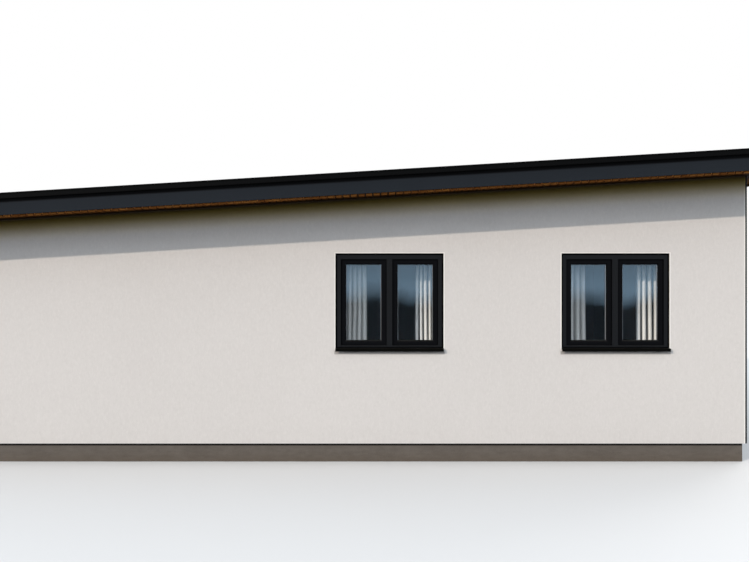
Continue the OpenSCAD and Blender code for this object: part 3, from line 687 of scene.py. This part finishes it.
def hang_curtain(name, place, side, curtain_w, fold_w):
    """One curtain: broad rounded folds towards the glass, with narrow ones reaching back between
    them. Each point also keeps a share of painted shade for the tone: an even share on the left
    curtains, on the right none at the fronts of the folds and the most at their backs, and some
    at the top."""
    folds = round(curtain_w / fold_w)
    dice = random.Random(name)
    phases = [dice.uniform(-0.5, 0.5) for _ in range(folds + 1)]
    depths = [dice.uniform(0.72, 1.0) for _ in range(folds + 1)]
    lean = dice.uniform(-0.004, 0.006)
    # The range of painted shade from the fronts to the backs of the folds.
    crease_shades = (0.34, 0.52) if side < 0 else (0.0, 1.0)
    per_fold, rows = 14, 26
    columns = folds * per_fold
    shape = bmesh.new()
    uv = shape.loops.layers.uv.new("cloth")
    fold_shade = shape.verts.layers.float.new("fold_shade")
    grid, cut_width = [], 0.0
    for row in range(rows + 1):
        down = row / rows
        loose = 0.55 + 0.45 * min(1.0, down * 3.2)  # tighter at the heading tape
        line, shades_here, length = [], [], 0.0
        for column in range(columns + 1):
            across = column / columns
            at = across * folds
            near = int(at)
            blend = at - near
            blend = blend * blend * (3 - 2 * blend)
            after = min(near + 1, folds)
            phase = (phases[near] * (1 - blend) + phases[after] * blend) * loose
            depth = (depths[near] * (1 - blend) + depths[after] * blend) * loose
            # The folds wander on their way down, spread a little and pull in at their backs.
            turn = 2 * math.pi * at + phase + 0.35 * math.sin(2.2 * down + near)
            u = (across - 0.5) * curtain_w * (0.965 + 0.03 * down)
            u -= 0.6 * curtain_w / folds / (2 * math.pi) * loose * math.sin(turn)
            u = side * (u + lean * math.sin(math.pi * down))
            u += side * (opening_half - side_gap - curtain_w / 2)
            v = rail_in + fold_depth * depth * math.cos(turn)
            point = Vector((u, v, top_z - down * (top_z - hem_z)))
            if line:
                length += (point - line[-1]).length
            line.append(point)
            # Painted shade: by the place in the fold, and more towards the top.
            crease_shade = crease_shades[0] + (crease_shades[1] - crease_shades[0]) * (0.5 + 0.5 * math.cos(turn))
            shades_here.append(max(crease_shade, 0.28 + 0.22 * (1 - loose) / 0.45))
        cut_width = max(cut_width, length)
        grid.append([shape.verts.new(place @ point) for point in line])
        for vertex, shade_here in zip(grid[-1], shades_here):
            vertex[fold_shade] = shade_here
    for row in range(rows):
        for column in range(columns):
            corners = [(row + 1, column), (row + 1, column + 1), (row, column + 1), (row, column)]
            if side < 0:
                corners.reverse()
            face = shape.faces.new([grid[i][j] for i, j in corners])
            for loop, (i, j) in zip(face.loops, corners):
                loop[uv].uv = (j / columns * cut_width, i / rows * (top_z - hem_z))
    made = shown(name, shape, linen.material)
    made.data.shade_smooth()
    thick = made.modifiers.new("cloth", "SOLIDIFY")
    thick.thickness = cloth_t
    thick.offset = 0
    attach(made, "root")
    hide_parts("curtains")


# How wide the left and the right curtain hang, and how wide each fold is.
drawn = {"front_1": (0.371, 0.325, 0.058), "front_2": (0.385, 0.298, 0.078)}
for name, place in windows.items():
    left, right, fold_w = drawn.get(name, (0.36, 0.345, 0.062))
    hang_curtain(name + "_left_curtain", place, -1, left, fold_w)
    hang_curtain(name + "_right_curtain", place, 1, right, fold_w)


# Inner window boards, ceiling lining and floor: lacquered boards in the openings, a painted
# lining under the roof, and oak planks over the slab.
lacquer = Finish("white_lacquer")
brushed = lacquer.noise(30, 2, stretch=(1, 1, 6))
paint(lacquer.shine({"Base Color": lacquer.mix(brushed, srgb(214, 212, 206), srgb(224, 222, 216)),
                     "Roughness": 0.35, "Normal": lacquer.bump(brushed, 0.0001)}), "window_boards")
cover = Finish("painted_lining")
roller = cover.noise(220, 2)
paint(cover.shine({"Base Color": cover.mix(roller, srgb(186, 183, 177), srgb(194, 191, 185)),
                   "Roughness": 0.9, "Normal": cover.bump(roller, 0.0004)}), "ceiling_lining")

plank_w = 0.19
oak = Finish("oak_planks")
course = oak.axes()[1] / plank_w
tone = oak.node("ShaderNodeTexWhiteNoise", {"noise_dimensions": "1D"}, {"W": course.sum("FLOOR", course)})
gap = abs(course.sum("FRACT", course) - 0.5) > 0.49
planks = oak.noise(14, 4, stretch=(0.08, 1, 1), rough=0.6)
wood_tone = oak.mix(tone, srgb(132, 100, 68), srgb(158, 124, 88))
wood_tone = oak.mix(planks.between(0.45, 0.75) * 0.4, wood_tone, srgb(96, 68, 42))
paint(oak.shine({"Base Color": oak.mix(gap * 0.8, wood_tone, srgb(40, 28, 18)), "Roughness": 0.45,
                 "Normal": oak.bump(planks - gap * 2, 0.0006)}), "floor_finish")


# High end cladding: upright boards with a graphite stain on the whole high end wall, nailed
# over battens, with a shadow joint between each two and cut round the openings.
stain = Finish("graphite_stain")
tone = each_its_own(stain)
growth = stain.noise(40, 4, stretch=(1, 1, 0.05), rough=0.62)
fibre = stain.noise(260, 2, stretch=(1, 1, 0.05))
stain_tone = stain.mix(tone, srgb(52, 56, 62), srgb(67, 71, 79))
stain_tone = stain.mix(growth.between(0.48, 0.74) * 0.55, stain_tone, srgb(34, 36, 40))
stain_tone = stain.mix(fibre.between(0.55, 0.8) * 0.3, stain_tone, srgb(84, 88, 94))
stain_tone = stain.mix((abs(stain.facing(1)) > 0.3) * 0.75, stain_tone, srgb(6, 7, 9))
graphite = stain.shine({"Base Color": stain_tone, "Roughness": 0.5 + 0.2 * fibre,
                        "Specular IOR Level": 0.1, "Normal": stain.bump(growth + 0.5 * fibre, 0.001)})

clad_joint, felt_t, rough_top = 0.007, 0.004, 3.0
clad_low, clad_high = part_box("high_end_cladding")
top_at_wall = clad_high.z - (clad_high.x - clad_low.x) * slope
door_half, door_low = 0.55, 0.11
near, far = end_window - opening_half, end_window + opening_half
window_span, door_span = (opening_low, opening_high), (door_low, opening_high)
# From the front to the back: where each bay starts and ends, its boards, and its opening.
bays = [(-wall_y, -far, 7, None), (-far, -near, 10, window_span), (-near, -door_half, 14, None),
        (-door_half, door_half, 8, door_span), (door_half, near, 14, None),
        (near, far, 10, window_span), (far, wall_y, 7, None)]


def spans_of(opening):
    """The heights that a bay's boards span, below and above its opening. The topmost one has no
    end of its own, as it runs up to the sloping soffit, and a span too low for a board is left out."""
    spans = [(clad_low.z, opening[0]), (opening[1], None)] if opening else [(clad_low.z, None)]
    return [(foot, end) for foot, end in spans if end is None or end - foot >= 0.02]


shape = bmesh.new()
tones = shape.verts.layers.float.new("tone")
dice = random.Random(31)
for start, end, count, opening in bays:
    width = (end - start) / count
    for i in range(count):
        left = start + i * width + (clad_joint / 2 if i or start > -wall_y else 0)
        right = start + (i + 1) * width - (clad_joint / 2 if i < count - 1 or end < wall_y else 0)
        shade = dice.random()
        for foot_z, end_z in spans_of(opening):
            corners = block(shape, (clad_low.x + felt_t, left, foot_z),
                            (clad_high.x, right, end_z or rough_top), 0.0025)
            for corner in corners:
                corner[tones] = shade
                if end_z is None and corner.co.z > rough_top - 0.1:
                    corner.co.z += top_at_wall - rough_top + (corner.co.x - clad_low.x) * slope
cladding = shown("high_end_boards", shape, graphite)
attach(cladding, "root")
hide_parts("high_end_cladding")
shape = bmesh.new()
for start, end, count, opening in bays:
    for foot_z, end_z in spans_of(opening):
        block(shape, (clad_low.x, start, foot_z), (clad_low.x + felt_t, end, end_z or top_at_wall))
backing = shown("high_end_felt", shape, black_felt)
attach(backing, "root")


# Entrance: a flush door leaf with four fine grooves, in a frame of the same anthracite coat,
# with a brushed steel bar to pull it by and a stone threshold under it.
paint(coated("door_coat", srgb(44, 47, 52)), "entrance_door_frame", "entrance_door_leaf")
steel = Finish("brushed_steel")
brush = steel.noise(700, 2, stretch=(1, 1, 0.02))
brushed_steel = steel.shine({"Base Color": steel.mix(brush, srgb(176, 176, 174), srgb(200, 200, 198)),
                             "Metallic": 1.0, "Roughness": 0.24 + 0.16 * brush})
paint(brushed_steel, "entrance_door_handle")

rose = [(0.0088, 0), (0.018, 0), (0.018, 0.0028), (0.0165, 0.004), (0.0088, 0.004)]
barrel = [(0.0012, 0), (0.0085, 0), (0.0085, 0.0052), (0.008, 0.0056), (0.0012, 0.0056)]
shape = bmesh.new()
for section in (rose, barrel):
    turned(shape, section, Vector((5.16, 0.457, 1.05)), Vector((1, 0, 0)))
bmesh.ops.recalc_face_normals(shape, faces=shape.faces)
lock = shown("entrance_door_lock", shape, brushed_steel, 30)
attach(lock, "root")

stone = Finish("grey_stone")
fleck = stone.noise(240, 3)
veil = stone.noise(6, 4)
stone_tone = stone.mix(veil, srgb(118, 116, 112), srgb(146, 143, 138))
stone_tone = stone.mix(fleck.between(0.55, 0.7) * 0.4, stone_tone, srgb(78, 76, 74))
paint(stone.shine({"Base Color": stone_tone, "Roughness": 0.7, "Normal": stone.bump(fleck, 0.0006)}),
      "entrance_threshold")
